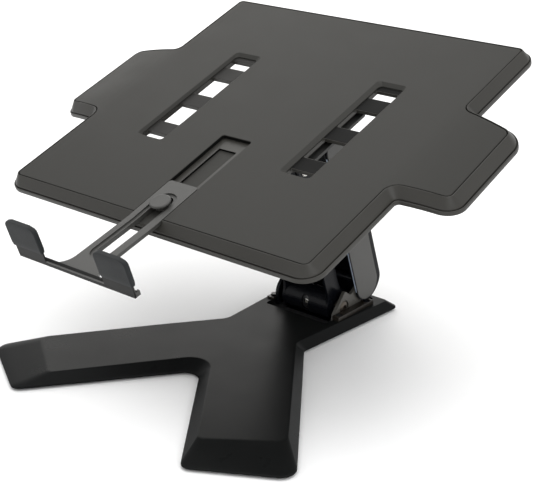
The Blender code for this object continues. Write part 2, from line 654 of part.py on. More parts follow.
def build_tray_frame(plane):
    frame = place("tray_frame", rim_solid(), CHARCOAL, plane)
    sides = STOP_HALF + 0.0005
    combine(frame, box_mesh(-sides, sides, -0.02, 0.004, WEB_TOP - GAP, 0.02))
    for side in (-1, 1):
        for front, rear in WINDOW_V:
            near, far = sorted((side * WINDOW_U[0], side * WINDOW_U[1]))
            combine(frame, box_mesh(near, far, front, rear, -0.02, 0.02))
    guide = GUIDE_HALF + 0.0005
    combine(frame, box_mesh(-guide, guide, -0.02, GUIDE_REAR, GUIDE_BOTTOM - GAP, 0.02))
    stud_at = Matrix.Translation((0, KNOB_V, 0))
    combine(frame, rod_mesh(STUD + GAP, -0.03, 0.03, 16, stud_at))
    for u, v in PLATE_SCREWS:
        boss_at = Matrix.Translation((u, v, 0))
        combine(frame, rod_mesh(0.0045, PLATE_TOP + GAP, WEB_BOTTOM + 0.001, 16, boss_at), "UNION")
        combine(frame, rod_mesh(0.0019, -0.03, WEB_BOTTOM + 0.0005, 12, boss_at))
    settle(frame)
    droop_wings(frame)


def slot_cutter(side):
    """Long slot with a bevel round its top edge."""
    outlines = []
    for near, far, front, rear in (SLOT_FLOOR, SLOT_MOUTH):
        left, right = sorted((side * near, side * far))
        outlines.append(box_outline(left, right, front, rear, 0.003))
    floor, mouth = outlines
    return lofted([(floor, -0.0050), (floor, -SLOT_BEVEL), (mouth, 0.0), (mouth, 0.0030)])


def build_tray_panel(plane):
    outline = tray_outline(-RIM_LAND - PANEL_SEAM)
    panel = place("tray_panel", flat_plate([outline], -PANEL_THICKNESS, 0.0), CHARCOAL, plane)
    for side in (-1, 1):
        combine(panel, slot_cutter(side))
    half = STOP_HALF + 0.0005
    combine(panel, flat_plate([box_outline(-half, half, -0.02, CHANNEL_REAR, 0.002)], -0.02, 0.02))
    settle(panel)
    droop_wings(panel)


def build_tray_plate(plane):
    """Steel plate under the tray with the two lugs of the tilt hinge."""
    outline = box_outline(-PLATE_HALF, PLATE_HALF, PLATE_FRONT, PLATE_REAR, 0.006)
    holes = [circle(at, 0.0019, 12) for at in PLATE_SCREWS]
    plate = place("tray_plate", flat_plate([outline] + holes, PLATE_BOTTOM, PLATE_TOP), SATIN_BLACK, plane)
    lug = arc((TILT_V, TILT_N), LUG_RADIUS, 180, 360, 10)
    lug += [(TILT_V + 0.014, PLATE_BOTTOM + 0.001), (TILT_V - 0.014, PLATE_BOTTOM + 0.001)]
    bore = circle((TILT_V, TILT_N), TILT_PIN + GAP)
    combine(plate, side_plate([lug, bore], LUG_INSIDE, LUG_OUTSIDE), "UNION")
    combine(plate, side_plate([lug, bore], -LUG_OUTSIDE, -LUG_INSIDE), "UNION")
    for index, (u, v) in enumerate(PLATE_SCREWS):
        profile = [(0, WEB_BOTTOM - 0.0008), (0.0016, WEB_BOTTOM - 0.0008), (0.0016, PLATE_BOTTOM - GAP),
                   (0.0034, PLATE_BOTTOM - GAP), (0.0030, PLATE_BOTTOM - 0.0022), (0, PLATE_BOTTOM - 0.0022)]
        turned("plate_screw_%d" % (index + 1), profile, BRIGHT_STEEL, plane, (u, v, 0), ALONG_Z, steps=16)


def build_tilt_hinge(tilt_axis):
    reach = LUG_OUTSIDE + GAP
    profile = [(0, reach + 0.0032), (0.0060, reach + 0.0028), (0.0065, reach + 0.0020), (0.0065, reach),
               (TILT_PIN, reach), (TILT_PIN, -reach + 0.0006), (0, -reach + 0.0006)]
    turned("tilt_bolt", profile, BRIGHT_STEEL, tilt_axis, (0, 0, 0), ALONG_X)
    nut = [(0, -reach), (0.0066, -reach), (0.0066, -reach - 0.0035), (0.0058, -reach - 0.0042),
           (0, -reach - 0.0042)]
    turned("tilt_nut", nut, BRIGHT_STEEL, tilt_axis, (0, 0, 0), ALONG_X, steps=6)
    for name, side in (("tilt_washer_left", -1), ("tilt_washer_right", 1)):
        low, high = HEAD_HALF + GAP, LUG_INSIDE - GAP
        washer(name, TILT_PIN + GAP, 0.0078, low, high, NYLON, tilt_axis, (0, 0, 0),
               (0, side * math.radians(90), 0))


# ---------------------------------------------------------------- sliding stop and clamp

def raise_front(target):
    """Fold the arm so that it climbs towards its front plate."""
    work = bmesh.new()
    work.from_mesh(target.data)
    bmesh.ops.bisect_plane(work, geom=work.verts[:] + work.edges[:] + work.faces[:],
                           plane_co=(0, STOP_FOLD, 0), plane_no=(0, 1, 0), dist=0.00001)
    for vertex in work.verts:
        vertex.co.z += STOP_RISE * max(STOP_FOLD - vertex.co.y, 0.0)
    work.to_mesh(target.data)
    work.free()


def build_stop(plane):
    slide = axis("stop_axis", (0, 0, 0), 0.0, plane)
    rear_face = STOP_FRONT + STOP_SHEET
    right = [(STOP_SPREAD, STOP_FRONT, 0.0), (STOP_SPREAD, rear_face, 0.0),
             (STOP_HALF, rear_face, 0.014), (STOP_HALF, STOP_REAR, 0.0025)]
    low, high = SLOT_ENDS
    narrow = SLOT_HALF - SLOT_STEP
    slot = stadium(narrow, low + SLOT_STEP, high - SLOT_STEP)
    sheet = flat_plate([rounded(mirrored(right)), slot], -PANEL_THICKNESS, 0.0)
    arm = place("stop_arm", sheet, CHARCOAL, slide)
    lip = stadium(GUIDE_HALF, low + 0.0009, high - 0.0009)
    combine(arm, flat_plate([lip, slot], GUIDE_BOTTOM, -PANEL_THICKNESS + 0.0010), "UNION")
    combine(arm, flat_plate([stadium(SLOT_HALF, low, high)], -SLOT_STEP_DEPTH, 0.01))
    combine(arm, box_mesh(-STOP_SPREAD, STOP_SPREAD, STOP_FRONT, rear_face, STOP_DROP, -0.0005), "UNION")
    upright = PAD[3] - 0.0028 + STOP_RISE * (STOP_FRONT - STOP_FOLD)
    for side in (-1, 1):
        near, far = sorted((side * (PAD[0] + 0.0012), side * (PAD[1] - 0.0020)))
        combine(arm, box_mesh(near, far, STOP_FRONT, rear_face, -0.0020, upright), "UNION")
        near, far = sorted((side * (STOP_SPREAD - STOP_SHEET), side * STOP_SPREAD))
        cheek = box_mesh(near, far, STOP_FRONT + 0.0005, rear_face + 0.006, STOP_DROP, -0.0003)
        combine(arm, cheek, "UNION")
    settle(arm)
    raise_front(arm)
    for name, side in (("stop_pad_left", -1), ("stop_pad_right", 1)):
        build_pad(name, side, slide)


def build_pad(name, side, slide):
    """Rubber sleeve over one upright, its face outline in u and n extruded along v."""
    near, far, bottom, top = PAD
    face = rounded([(near, bottom, 0.0012), (far, bottom, 0.0012), (far, top - 0.0004, 0.0030),
                    (near, top, 0.0030)], 4)
    mesh = flat_plate([face], PAD_FRONT, PAD_REAR)
    mesh.transform(Matrix(((side, 0, 0, 0), (0, 0, 1, 0), (0, 1, 0, 0), (0, 0, 0, 1))))
    work = bmesh.new()
    work.from_mesh(mesh)
    pad = place(name, finished(work), RUBBER, slide)
    soften(pad, 0.0010)
    left, right = sorted((side * (near + 0.0012 - GAP), side * (far - 0.0020 + GAP)))
    combine(pad, box_mesh(left, right, STOP_FRONT - GAP, STOP_FRONT + STOP_SHEET + GAP, -0.01,
                          top - 0.0028 + GAP))


def build_clamp(plane):
    at = (0, KNOB_V, 0)
    knob_axis = axis("knob_axis", at, 0.0, plane)
    profile = [(0, KNOB_TOP), (KNOB_RADIUS - 0.0018, KNOB_TOP), (KNOB_RADIUS - 0.0006, KNOB_TOP - 0.0005),
               (KNOB_RADIUS, KNOB_TOP - 0.0014), (KNOB_RADIUS, KNOB_BOTTOM), (HUB_RADIUS, KNOB_BOTTOM),
               (HUB_RADIUS, HUB_BOTTOM), (0, HUB_BOTTOM)]
    turned("clamp_knob", profile, CHARCOAL, knob_axis, (0, 0, 0), ALONG_Z, steps=20)
    stud = [(0, HUB_BOTTOM - GAP), (STUD, HUB_BOTTOM - GAP), (STUD, -0.0112), (0, -0.0112)]
    turned("clamp_screw", stud, BRIGHT_STEEL, knob_axis, (0, 0, 0), ALONG_Z, steps=16)
    nut = [(0.0055, WEB_BOTTOM - GAP), (0.0055, WEB_BOTTOM - 0.0040), (STUD + GAP, WEB_BOTTOM - 0.0040),
           (STUD + GAP, WEB_BOTTOM - GAP)]
    turned("clamp_nut", nut, BRIGHT_STEEL, plane, at, ALONG_Z, closed=True, steps=12)


# ---------------------------------------------------------------- assembly

def build_stand():
    build_base()
    lower_axis = build_lower_link()
    build_rear_link()
    tilt_axis = build_head(lower_axis)
    plane = axis("tray_plane", (0, -TILT_V, -TILT_N), 0.0, tilt_axis)
    build_tray_frame(plane)
    build_tray_panel(plane)
    build_tray_plate(plane)
    build_tilt_hinge(tilt_axis)
    build_stop(plane)
    build_clamp(plane)
    bpy.context.view_layer.update()


build_stand()
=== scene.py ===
"""Looks of the notebook lift stand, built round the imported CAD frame. Metres, +Z up, the user at -Y."""
import json
import math

import bmesh
import bpy
from mathutils import Matrix, Vector


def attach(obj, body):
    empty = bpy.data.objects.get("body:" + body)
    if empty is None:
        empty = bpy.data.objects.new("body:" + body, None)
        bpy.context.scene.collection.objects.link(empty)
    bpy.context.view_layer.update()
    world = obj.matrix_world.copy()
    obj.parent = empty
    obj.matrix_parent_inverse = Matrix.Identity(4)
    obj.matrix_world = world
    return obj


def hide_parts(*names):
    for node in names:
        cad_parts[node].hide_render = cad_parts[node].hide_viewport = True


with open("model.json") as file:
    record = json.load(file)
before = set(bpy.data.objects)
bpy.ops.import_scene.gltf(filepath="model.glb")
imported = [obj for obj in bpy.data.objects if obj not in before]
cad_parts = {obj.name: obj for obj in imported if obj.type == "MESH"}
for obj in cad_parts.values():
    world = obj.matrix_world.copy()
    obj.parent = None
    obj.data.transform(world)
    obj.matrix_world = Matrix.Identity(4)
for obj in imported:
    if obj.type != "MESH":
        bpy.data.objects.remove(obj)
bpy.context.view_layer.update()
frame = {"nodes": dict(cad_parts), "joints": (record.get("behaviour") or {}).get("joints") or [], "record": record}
PIVOT = {joint["name"]: Vector(joint.get("pos_m", (0, 0, 0))) for joint in frame["joints"]}

# ---------------------------------------------------------------- frames of the moving parts

TILT = math.radians(19.8)
LEAN = math.radians(19.5)
ARM_LENGTH = 0.144
TILT_V, TILT_N = 0.1754, -0.0250   # the tilt bolt, along and above the tray in the tray's own frame
TRAY = (Matrix.Translation(PIVOT["tray_tilt"]) @ Matrix.Rotation(TILT, 4, "X")
        @ Matrix.Translation((0, -TILT_V, -TILT_N)))
LOWER = Matrix.Translation(PIVOT["lift"]) @ Matrix.Rotation(LEAN, 4, "X")
REAR = Matrix.Translation(PIVOT["rear_pivot"]) @ Matrix.Rotation(LEAN, 4, "X")
LIFT_Y, LIFT_Z = PIVOT["lift"].y, PIVOT["lift"].z
REAR_Y, REAR_Z = PIVOT["rear_pivot"].y, PIVOT["rear_pivot"].z
DRAWN_LIFT_Y = 0.0962              # the lift pivot's place in the axes of the base's outlines
BASE_SHIFT = LIFT_Y - DRAWN_LIFT_Y
SIDEWAYS = Matrix(((0, 0, 1, 0), (1, 0, 0, 0), (0, 1, 0, 0), (0, 0, 0, 1)))   # x, y, z become Y, Z, X

# ---------------------------------------------------------------- dimensions shared with the CAD

GAP = 0.0003
PAST = 0.03                        # how far a cutter runs past the faces that it cuts
# Creases and edges are right halves of outlines, front to rear, as (x, y, corner radius).
TRAY_CREASE = [(0.150, 0.0, 0.006), (0.150, 0.101, 0.011), (0.1945, 0.108, 0.006),
               (0.1932, 0.195, 0.007), (0.1488, 0.203, 0.008), (0.1488, 0.294, 0.004)]
BASE_CREASE = [(0.0, -0.0367, 0.018), (0.0800, -0.1424, 0.004), (0.1333, -0.1046, 0.008),
               (0.0377, 0.0232, 0.014), (0.0452, 0.1441, 0.004)]
BASE_EDGE = [(0.0, -0.0527, 0.012), (0.0906, -0.1725, 0.008), (0.1626, -0.1306, 0.012),
             (0.0415, 0.0300, 0.010), (0.0490, 0.156, 0.005)]
SKIRT_BOTTOM, SKIRT_EDGE, BASE_TOP, BASE_CEILING = 0.0020, 0.0035, 0.0118, 0.0076
LEG_FOLD, LEG_FALL = -0.020, 0.0160
WING_START, WING_SPAN, WING_FALL = 0.140, 0.054, 0.0060
RIM_BOTTOM, WEB_TOP, WEB_BOTTOM = -0.0118, -0.0033, -0.0063
# Slots and windows run from near to far of the middle on both sides, and from front to rear.
SLOT_MOUTH = (0.0604, 0.0894, 0.0832, 0.2160)
SLOT_FLOOR = (0.0640, 0.0875, 0.0855, 0.2125)
WINDOW_U = (0.0650, 0.0870)
WINDOW_V = [(0.0855, 0.0935), (0.1090, 0.1355), (0.1525, 0.1780), (0.1955, 0.2065)]
STOP_HALF, STOP_REAR, STOP_FRONT, STOP_SHEET = 0.0145, 0.0427, -0.0766, 0.0020
STOP_SPREAD, STOP_DROP = 0.0600, -0.0036
STOP_FOLD, STOP_RISE = -0.006, 0.060
SLOT_LOW, SLOT_HIGH, SLOT_HALF, SLOT_STEP = -0.0575, 0.0293, 0.0092, 0.0030
PAD = (0.0300, 0.0618, 0.0112, 0.0338)             # near, far, bottom, top
PAD_FRONT, PAD_REAR = -0.0777, -0.0733
KNOB_V, CLAMP_BORE = 0.0155, 0.0028
CHANNEL_HALF, CHANNEL_REAR = STOP_HALF + 0.0005, 0.1075
GUIDE_HALF, GUIDE_REAR, GUIDE_FLOOR = 0.0088, 0.0945, -0.0051
BASE_RECESS = (-0.0337, 0.0337, 0.069, 0.140)
EAR_BOTTOM, EAR_INSIDE, EAR_OUTSIDE = 0.0071, 0.0300, 0.0330
FOOT_INSIDE, FOOT_OUTSIDE, FOOT_FRONT, FOOT_REAR = 0.0331, 0.0400, 0.0790, 0.1300
FLANGE_SCREW_X, FLANGE_SCREWS_Y = 0.0366, (0.0845, 0.1240)
BOLT_BORE, PIN_BORE, BUSH_BORE = 0.0043, 0.0038, 0.0063
COVER_HALF, COVER_INSIDE, COVER_OUTSIDE = 0.0155, 0.0338, 0.0358
COVER_SCREWS = (0.040, 0.110)
COVER_BULGE = 0.0033               # only here: the CAD's cover has a flat back


# ---------------------------------------------------------------- outlines

def on_side(side, near, far):
    """Lower and higher x of a stretch that lies from near to far, on the left (-1) or the right (1)."""
    return sorted((side * near, side * far))


def arc(centre, radius, start, end, steps):
    turns = [math.radians(start + (end - start) * i / steps) for i in range(steps + 1)]
    return [(centre[0] + radius * math.cos(t), centre[1] + radius * math.sin(t)) for t in turns]


def circle(centre, radius, sides=48):
    return arc(centre, radius, 0, 360, sides)[:-1]


def mirrored(half):
    return half + [(-x, y, r) for x, y, r in reversed(half) if x > 0]


def rounded(corners, steps=12):
    """Outline with each corner (x, y, radius) replaced by an arc."""
    points = []
    for i, (x, y, radius) in enumerate(corners):
        here = Vector((x, y))
        if radius == 0:
            points.append((x, y))
            continue
        back = (Vector(corners[i - 1][:2]) - here).normalized()
        ahead = (Vector(corners[(i + 1) % len(corners)][:2]) - here).normalized()
        half_angle = back.angle(ahead) / 2
        centre = here + (back + ahead).normalized() * radius / math.sin(half_angle)
        first = here + back * radius / math.tan(half_angle) - centre
        turn = first.angle_signed(here + ahead * radius / math.tan(half_angle) - centre)
        for step in range(steps + 1):
            spoke = first.copy()
            spoke.rotate(Matrix.Rotation(-turn * step / steps, 2))
            points.append(tuple(centre + spoke))
    return points


def grown(corners, distance):
    """Corners moved outward from a counter-clockwise outline; a negative distance shrinks it."""
    moved = []
    for i, (x, y, radius) in enumerate(corners):
        here = Vector((x, y))
        along_in = (here - Vector(corners[i - 1][:2])).normalized()
        along_out = (Vector(corners[(i + 1) % len(corners)][:2]) - here).normalized()
        normal_in = Vector((along_in.y, -along_in.x))
        normal_out = Vector((along_out.y, -along_out.x))
        shift = (normal_in + normal_out) * distance / (1 + normal_in.dot(normal_out))
        convex = along_in.cross(along_out) > 0
        new_radius = radius + distance if convex else radius - distance
        moved.append((x + shift.x, y + shift.y, max(new_radius, 0.001)))
    return moved


def box_outline(x0, x1, y0, y1, radius=0.0, steps=6):
    return rounded([(x0, y0, radius), (x1, y0, radius), (x1, y1, radius), (x0, y1, radius)], steps)


def stadium(half, low, high, steps=20):
    return arc((0, high - half), half, 0, 180, steps) + arc((0, low + half), half, 180, 360, steps)


def tray_outline(distance):
    """Tray outline moved out from its crease; its outer corners get rounder the further out they lie."""
    extra = 0.5 * max(distance, 0.0)
    corners = grown(mirrored(TRAY_CREASE), distance)
    fresh = []
    for (x, y, radius), (_, crease_y, _) in zip(corners, mirrored(TRAY_CREASE)):
        inward = crease_y in (TRAY_CREASE[1][1], TRAY_CREASE[4][1])
        fresh.append((x, y, radius if inward else radius + extra))
    return rounded(fresh)


def blended(first, second, share):
    return [((1 - share) * a + share * c, (1 - share) * b + share * d)
            for (a, b), (c, d) in zip(first, second)]


# ---------------------------------------------------------------- meshes

def finished(work):
    bmesh.ops.recalc_face_normals(work, faces=work.faces)
    mesh = bpy.data.meshes.new("solid")
    work.to_mesh(mesh)
    work.free()
    return mesh


def lofted(rings):
    """Solid through outlines of equal length, given as (outline, height)."""
    work = bmesh.new()
    levels = [[work.verts.new((x, y, z)) for x, y in outline] for outline, z in rings]
    count = len(levels[0])
    for lower, upper in zip(levels, levels[1:]):
        for i in range(count):
            j = (i + 1) % count
            work.faces.new((lower[i], lower[j], upper[j], upper[i]))
    work.faces.new(levels[-1])
    work.faces.new(reversed(levels[0]))
    return finished(work)


def flat_plate(outlines, bottom, top):
    """Flat outline, with any further outlines as holes, from z = bottom to z = top."""
    curve = bpy.data.curves.new("outline", "CURVE")
    curve.dimensions = "2D"
    curve.fill_mode = "BOTH"
    curve.extrude = (top - bottom) / 2
    for outline in outlines:
        spline = curve.splines.new("POLY")
        spline.points.add(len(outline) - 1)
        for point, (x, y) in zip(spline.points, outline):
            point.co = (x, y, 0.0, 1.0)
        spline.use_cyclic_u = True
    holder = bpy.data.objects.new("guide", curve)
    bpy.context.scene.collection.objects.link(holder)
    bpy.context.view_layer.update()
    mesh = bpy.data.meshes.new_from_object(holder.evaluated_get(bpy.context.evaluated_depsgraph_get()))
    bpy.data.objects.remove(holder, do_unlink=True)
    bpy.data.curves.remove(curve)
    work = bmesh.new()
    work.from_mesh(mesh)
    bpy.data.meshes.remove(mesh)
    bmesh.ops.remove_doubles(work, verts=work.verts, dist=0.000001)
    bmesh.ops.transform(work, matrix=Matrix.Translation((0, 0, (top + bottom) / 2)), verts=work.verts)
    return finished(work)


def side_plate(outlines, left, right):
    mesh = flat_plate(outlines, left, right)
    mesh.transform(SIDEWAYS)
    return mesh


def box_mesh(x0, x1, y0, y1, z0, z1):
    work = bmesh.new()
    middle = Matrix.Translation(((x0 + x1) / 2, (y0 + y1) / 2, (z0 + z1) / 2))
    bmesh.ops.create_cube(work, size=1.0, matrix=middle @ Matrix.Diagonal((x1 - x0, y1 - y0, z1 - z0, 1)))
    return finished(work)


def turned_mesh(profile, steps=64):
    """Solid of revolution about Z from (radius, height) points that start and end on the axis."""
    work = bmesh.new()
    inner = profile[1:-1]
    rings = [[work.verts.new((r * math.cos(a), r * math.sin(a), z)) for a in
              (2 * math.pi * i / steps for i in range(steps))] for r, z in inner]
    for upper, lower in zip(rings, rings[1:]):
        for i in range(steps):
            j = (i + 1) % steps
            work.faces.new((upper[i], lower[i], lower[j], upper[j]))
    for ring, (_, z) in ((rings[0], profile[0]), (rings[-1], profile[-1])):
        tip = work.verts.new((0, 0, z))
        for i in range(steps):
            work.faces.new((ring[i], ring[(i + 1) % steps], tip))
    return finished(work)


def rod_mesh(radius, low, high, sides=48, placing=Matrix()):
    work = bmesh.new()
    bmesh.ops.create_cone(work, cap_ends=True, segments=sides, radius1=radius, radius2=radius,
                          depth=high - low, matrix=placing @ Matrix.Translation((0, 0, (low + high) / 2)))
    return finished(work)


def cross_rod(radius, y, z, left, right, sides=48):
    return rod_mesh(radius, left, right, sides, Matrix.Translation((0, y, z)) @ SIDEWAYS)


def boolean(mesh, others, operation="DIFFERENCE"):
    """The mesh with the other meshes cut from it or joined to it."""
    holder = bpy.data.objects.new("work", mesh)
    bpy.context.scene.collection.objects.link(holder)
    tools = []
    for other in others:
        tool = bpy.data.objects.new("tool", other)
        bpy.context.scene.collection.objects.link(tool)
        modifier = holder.modifiers.new("cut", "BOOLEAN")
        modifier.operation = operation
        modifier.solver = "EXACT"
        modifier.object = tool
        tools.append(tool)
    bpy.context.view_layer.update()
    made = bpy.data.meshes.new_from_object(holder.evaluated_get(bpy.context.evaluated_depsgraph_get()))
    for used in [holder] + tools:
        old = used.data
        bpy.data.objects.remove(used, do_unlink=True)
        bpy.data.meshes.remove(old)
    work = bmesh.new()
    work.from_mesh(made)
    bpy.data.meshes.remove(made)
    bmesh.ops.remove_doubles(work, verts=work.verts, dist=0.000002)
    bmesh.ops.dissolve_limit(work, angle_limit=math.radians(0.2), verts=work.verts, edges=work.edges)
    return finished(work)


def split(work, at, normal, dist=0.00001):
    """Add edges where a plane crosses the mesh."""
    bmesh.ops.bisect_plane(work, geom=work.verts[:] + work.edges[:] + work.faces[:], plane_co=at,
                           plane_no=normal, dist=dist)


def droop_wings(mesh, cuts=9):
    """Curve both wings of the tray gently down."""
    work = bmesh.new()
    work.from_mesh(mesh)
    first, reach = WING_START + 0.0007, 0.062
    for step in range(cuts):
        for side in (-1, 1):
            split(work, (side * (first + reach * step / cuts), 0, 0), (1, 0, 0), 0.000005)
    for vertex in work.verts:
        past = max(abs(vertex.co.x) - WING_START, 0.0) / WING_SPAN
        vertex.co.z -= WING_FALL * past ** 2
    work.to_mesh(mesh)
    work.free()
    return mesh


# ---------------------------------------------------------------- materials

def surface(name, colour, roughness, grain=0.0, grain_size=0.0004, mottle=0.0, rough_spread=0.0,
            metallic=0.0, coat=0.0, sheen=0.0, brushed=0.0, specular=0.5):
    """Procedural finish: fine moulded or sprayed grain in the bump, soft variation in colour and gloss."""
    made = bpy.data.materials.new(name)
    made.use_nodes = True
    nodes, links = made.node_tree.nodes, made.node_tree.links
    shader = nodes["Principled BSDF"]
    shader.inputs["Metallic"].default_value = metallic
    shader.inputs["Coat Weight"].default_value = coat
    shader.inputs["Coat Roughness"].default_value = 0.18
    shader.inputs["Sheen Weight"].default_value = sheen
    shader.inputs["Specular IOR Level"].default_value = specular
    where = nodes.new("ShaderNodeTexCoord").outputs["Object"]

    def noise(size, detail, rough=0.5):
        node = nodes.new("ShaderNodeTexNoise")
        node.inputs["Scale"].default_value = 1.0 / size
        node.inputs["Detail"].default_value = detail
        node.inputs["Roughness"].default_value = rough
        links.new(where, node.inputs["Vector"])
        return node.outputs["Fac"]

    def spread(value, middle, reach):
        """A noise value turned into one between middle - reach and middle + reach."""
        node = nodes.new("ShaderNodeMapRange")
        limits = {"From Min": 0.3, "From Max": 0.7, "To Min": middle - reach, "To Max": middle + reach}
        for socket, limit in limits.items():
            node.inputs[socket].default_value = limit
        links.new(value, node.inputs["Value"])
        return node.outputs["Result"]

    cloud, speck = noise(0.030, 4.0), noise(grain_size * 1.7, 2.0)
    tone = nodes.new("ShaderNodeMix")
    tone.data_type = "FLOAT"
    tone.inputs["Factor"].default_value = 0.45
    links.new(cloud, tone.inputs["A"])
    links.new(speck, tone.inputs["B"])
    tint = nodes.new("ShaderNodeMix")
    tint.data_type = "RGBA"
    tint.blend_type = "MULTIPLY"
    tint.inputs["Factor"].default_value = 1.0
    tint.inputs["A"].default_value = (*colour, 1.0)
    links.new(spread(tone.outputs["Result"], 1.0, mottle), tint.inputs["B"])
    links.new(tint.outputs["Result"], shader.inputs["Base Color"])
    links.new(spread(cloud, roughness, rough_spread), shader.inputs["Roughness"])
    if brushed:
        stretch = nodes.new("ShaderNodeMapping")
        stretch.inputs["Scale"].default_value = (900.0, 9000.0, 9000.0)
        links.new(where, stretch.inputs["Vector"])
        lines = nodes.new("ShaderNodeTexNoise")
        lines.inputs["Scale"].default_value = 1.0
        links.new(stretch.outputs["Vector"], lines.inputs["Vector"])
        height, strength = lines.outputs["Fac"], brushed
    else:
        height, strength = noise(grain_size, 3.0, 0.6), grain
    bump = nodes.new("ShaderNodeBump")
    bump.inputs["Strength"].default_value = strength
    bump.inputs["Distance"].default_value = 0.00015
    links.new(height, bump.inputs["Height"])
    links.new(bump.outputs["Normal"], shader.inputs["Normal"])
    return made


TRAY_TOP = surface("tray_top_plastic", (0.034, 0.0334, 0.0308), 0.50, grain=0.50, grain_size=0.00055,
                   mottle=0.06, rough_spread=0.03, specular=0.08)
TRAY_RIM = surface("tray_rim_plastic", (0.028, 0.0268, 0.0235), 0.36, grain=0.30, grain_size=0.0005,
                   mottle=0.05, rough_spread=0.03, specular=0.30)
STOP_PLASTIC = surface("stop_plastic", (0.038, 0.0375, 0.0350), 0.42, grain=0.25, grain_size=0.0004,
                       mottle=0.05, rough_spread=0.03, specular=0.40)
STOP_DARK = surface("stop_front_face", (0.006, 0.006, 0.0056), 0.50, grain=0.25, grain_size=0.0004,
                    mottle=0.06, rough_spread=0.03, specular=0.20)
PAD_RUBBER = surface("pad_rubber", (0.013, 0.0145, 0.0155), 0.60, grain=0.50, grain_size=0.0005,
                     mottle=0.08, rough_spread=0.05, sheen=0.03, specular=0.20)
BASE_PLASTIC = surface("base_plastic", (0.0070, 0.0074, 0.0074), 0.30, grain=0.30, grain_size=0.00045,
                       mottle=0.06, rough_spread=0.03, specular=0.04)
BLACK_STEEL = surface("black_painted_steel", (0.0035, 0.0040, 0.0055), 0.25, grain=0.10, grain_size=0.0006,
                      mottle=0.10, rough_spread=0.04, specular=0.14)
# Black painted shade for the upright walls of the stop's channels and for the right slot's bars.
SLOT_SHADE_BLACK = surface("slot_shadow_black", (0.0040, 0.0040, 0.0038), 0.60, grain=0.20, grain_size=0.0005,
                     mottle=0.10, rough_spread=0.04, specular=0.08)
# Dark grey of the left slot's bars: their plastic darkened by painted shade.
SLOT_BAR_SHADE_GREY = surface("slot_bar_plastic_in_shade", (0.0150, 0.0145, 0.0135), 0.50, grain=0.30, grain_size=0.0005,
                    mottle=0.08, rough_spread=0.04, specular=0.12)
PLATE_GREY = surface("plate_grey_paint", (0.0300, 0.0300, 0.0290), 0.40, grain=0.20, grain_size=0.0006,
                     mottle=0.08, rough_spread=0.04, specular=0.25)
COVER_BLACK = surface("cover_black_plastic", (0.0035, 0.0036, 0.0050), 0.30, grain=0.10, grain_size=0.0005,
                      mottle=0.08, rough_spread=0.03, specular=0.10)
# Light blue-white colour of a painted highlight along the cover's front edges.
EDGE_GLINT = surface("cover_edge_painted_highlight", (0.380, 0.440, 0.540), 0.25, grain=0.05, grain_size=0.0006,
                     mottle=0.08, rough_spread=0.03, coat=0.30)
FLANGE_DARK = surface("flange_brown_black", (0.0120, 0.0095, 0.0070), 0.32, grain=0.15, grain_size=0.0005,
                      mottle=0.12, rough_spread=0.05, specular=0.30)
COVER_PANEL = surface("cover_panel_plastic", (0.070, 0.069, 0.066), 0.50, grain=0.25, grain_size=0.0004,
                      mottle=0.05, rough_spread=0.03, specular=0.35)
EAR_STEEL = surface("bracket_grey_paint", (0.060, 0.057, 0.050), 0.38, grain=0.20, grain_size=0.0005,
                    mottle=0.08, rough_spread=0.05, specular=0.40)
BOLT_STEEL = surface("dark_bolt_steel", (0.080, 0.068, 0.056), 0.30, grain=0.15, grain_size=0.0005,
                     mottle=0.15, rough_spread=0.06, metallic=0.8)
ZINC = surface("zinc_plated_steel", (0.58, 0.57, 0.54), 0.28, mottle=0.12, rough_spread=0.08, metallic=1.0,
               brushed=0.25)
DARK_STEEL = surface("oxide_steel", (0.060, 0.060, 0.062), 0.45, grain=0.35, grain_size=0.0007,
                     mottle=0.20, rough_spread=0.08, metallic=0.7)
FOOT_RUBBER = surface("foot_rubber", (0.010, 0.010, 0.010), 0.75, grain=0.50, grain_size=0.0004,
                      mottle=0.15, rough_spread=0.05)
NYLON = surface("nylon", (0.55, 0.53, 0.46), 0.48, grain=0.15, grain_size=0.0006, mottle=0.05,
                rough_spread=0.04)


# ---------------------------------------------------------------- pieces

def piece(name, mesh, look, body, replaced=(), placing=Matrix(), edge=0.0, segments=2,
          bevel_angle=30.0):
    """A finished visual piece that rides on a CAD body and stands for CAD nodes."""
    mesh.transform(placing)
    mesh.name = name
    mesh.materials.clear()
    mesh.materials.append(look)
    mesh.shade_smooth()
    mesh.set_sharp_from_angle(angle=math.radians(35.0))
    made = bpy.data.objects.new(name, mesh)
    bpy.context.scene.collection.objects.link(made)
    if edge:
        bevel = made.modifiers.new("soft_edges", "BEVEL")
        bevel.width = edge
        bevel.segments = segments
        bevel.limit_method = "ANGLE"
        bevel.angle_limit = math.radians(bevel_angle)
        bevel.miter_outer = "MITER_ARC"
    normals = made.modifiers.new("flat_faces", "WEIGHTED_NORMAL")
    normals.keep_sharp = not edge
    normals.weight = 80
    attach(made, body)
    if replaced:
        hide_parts(*replaced)
    return made


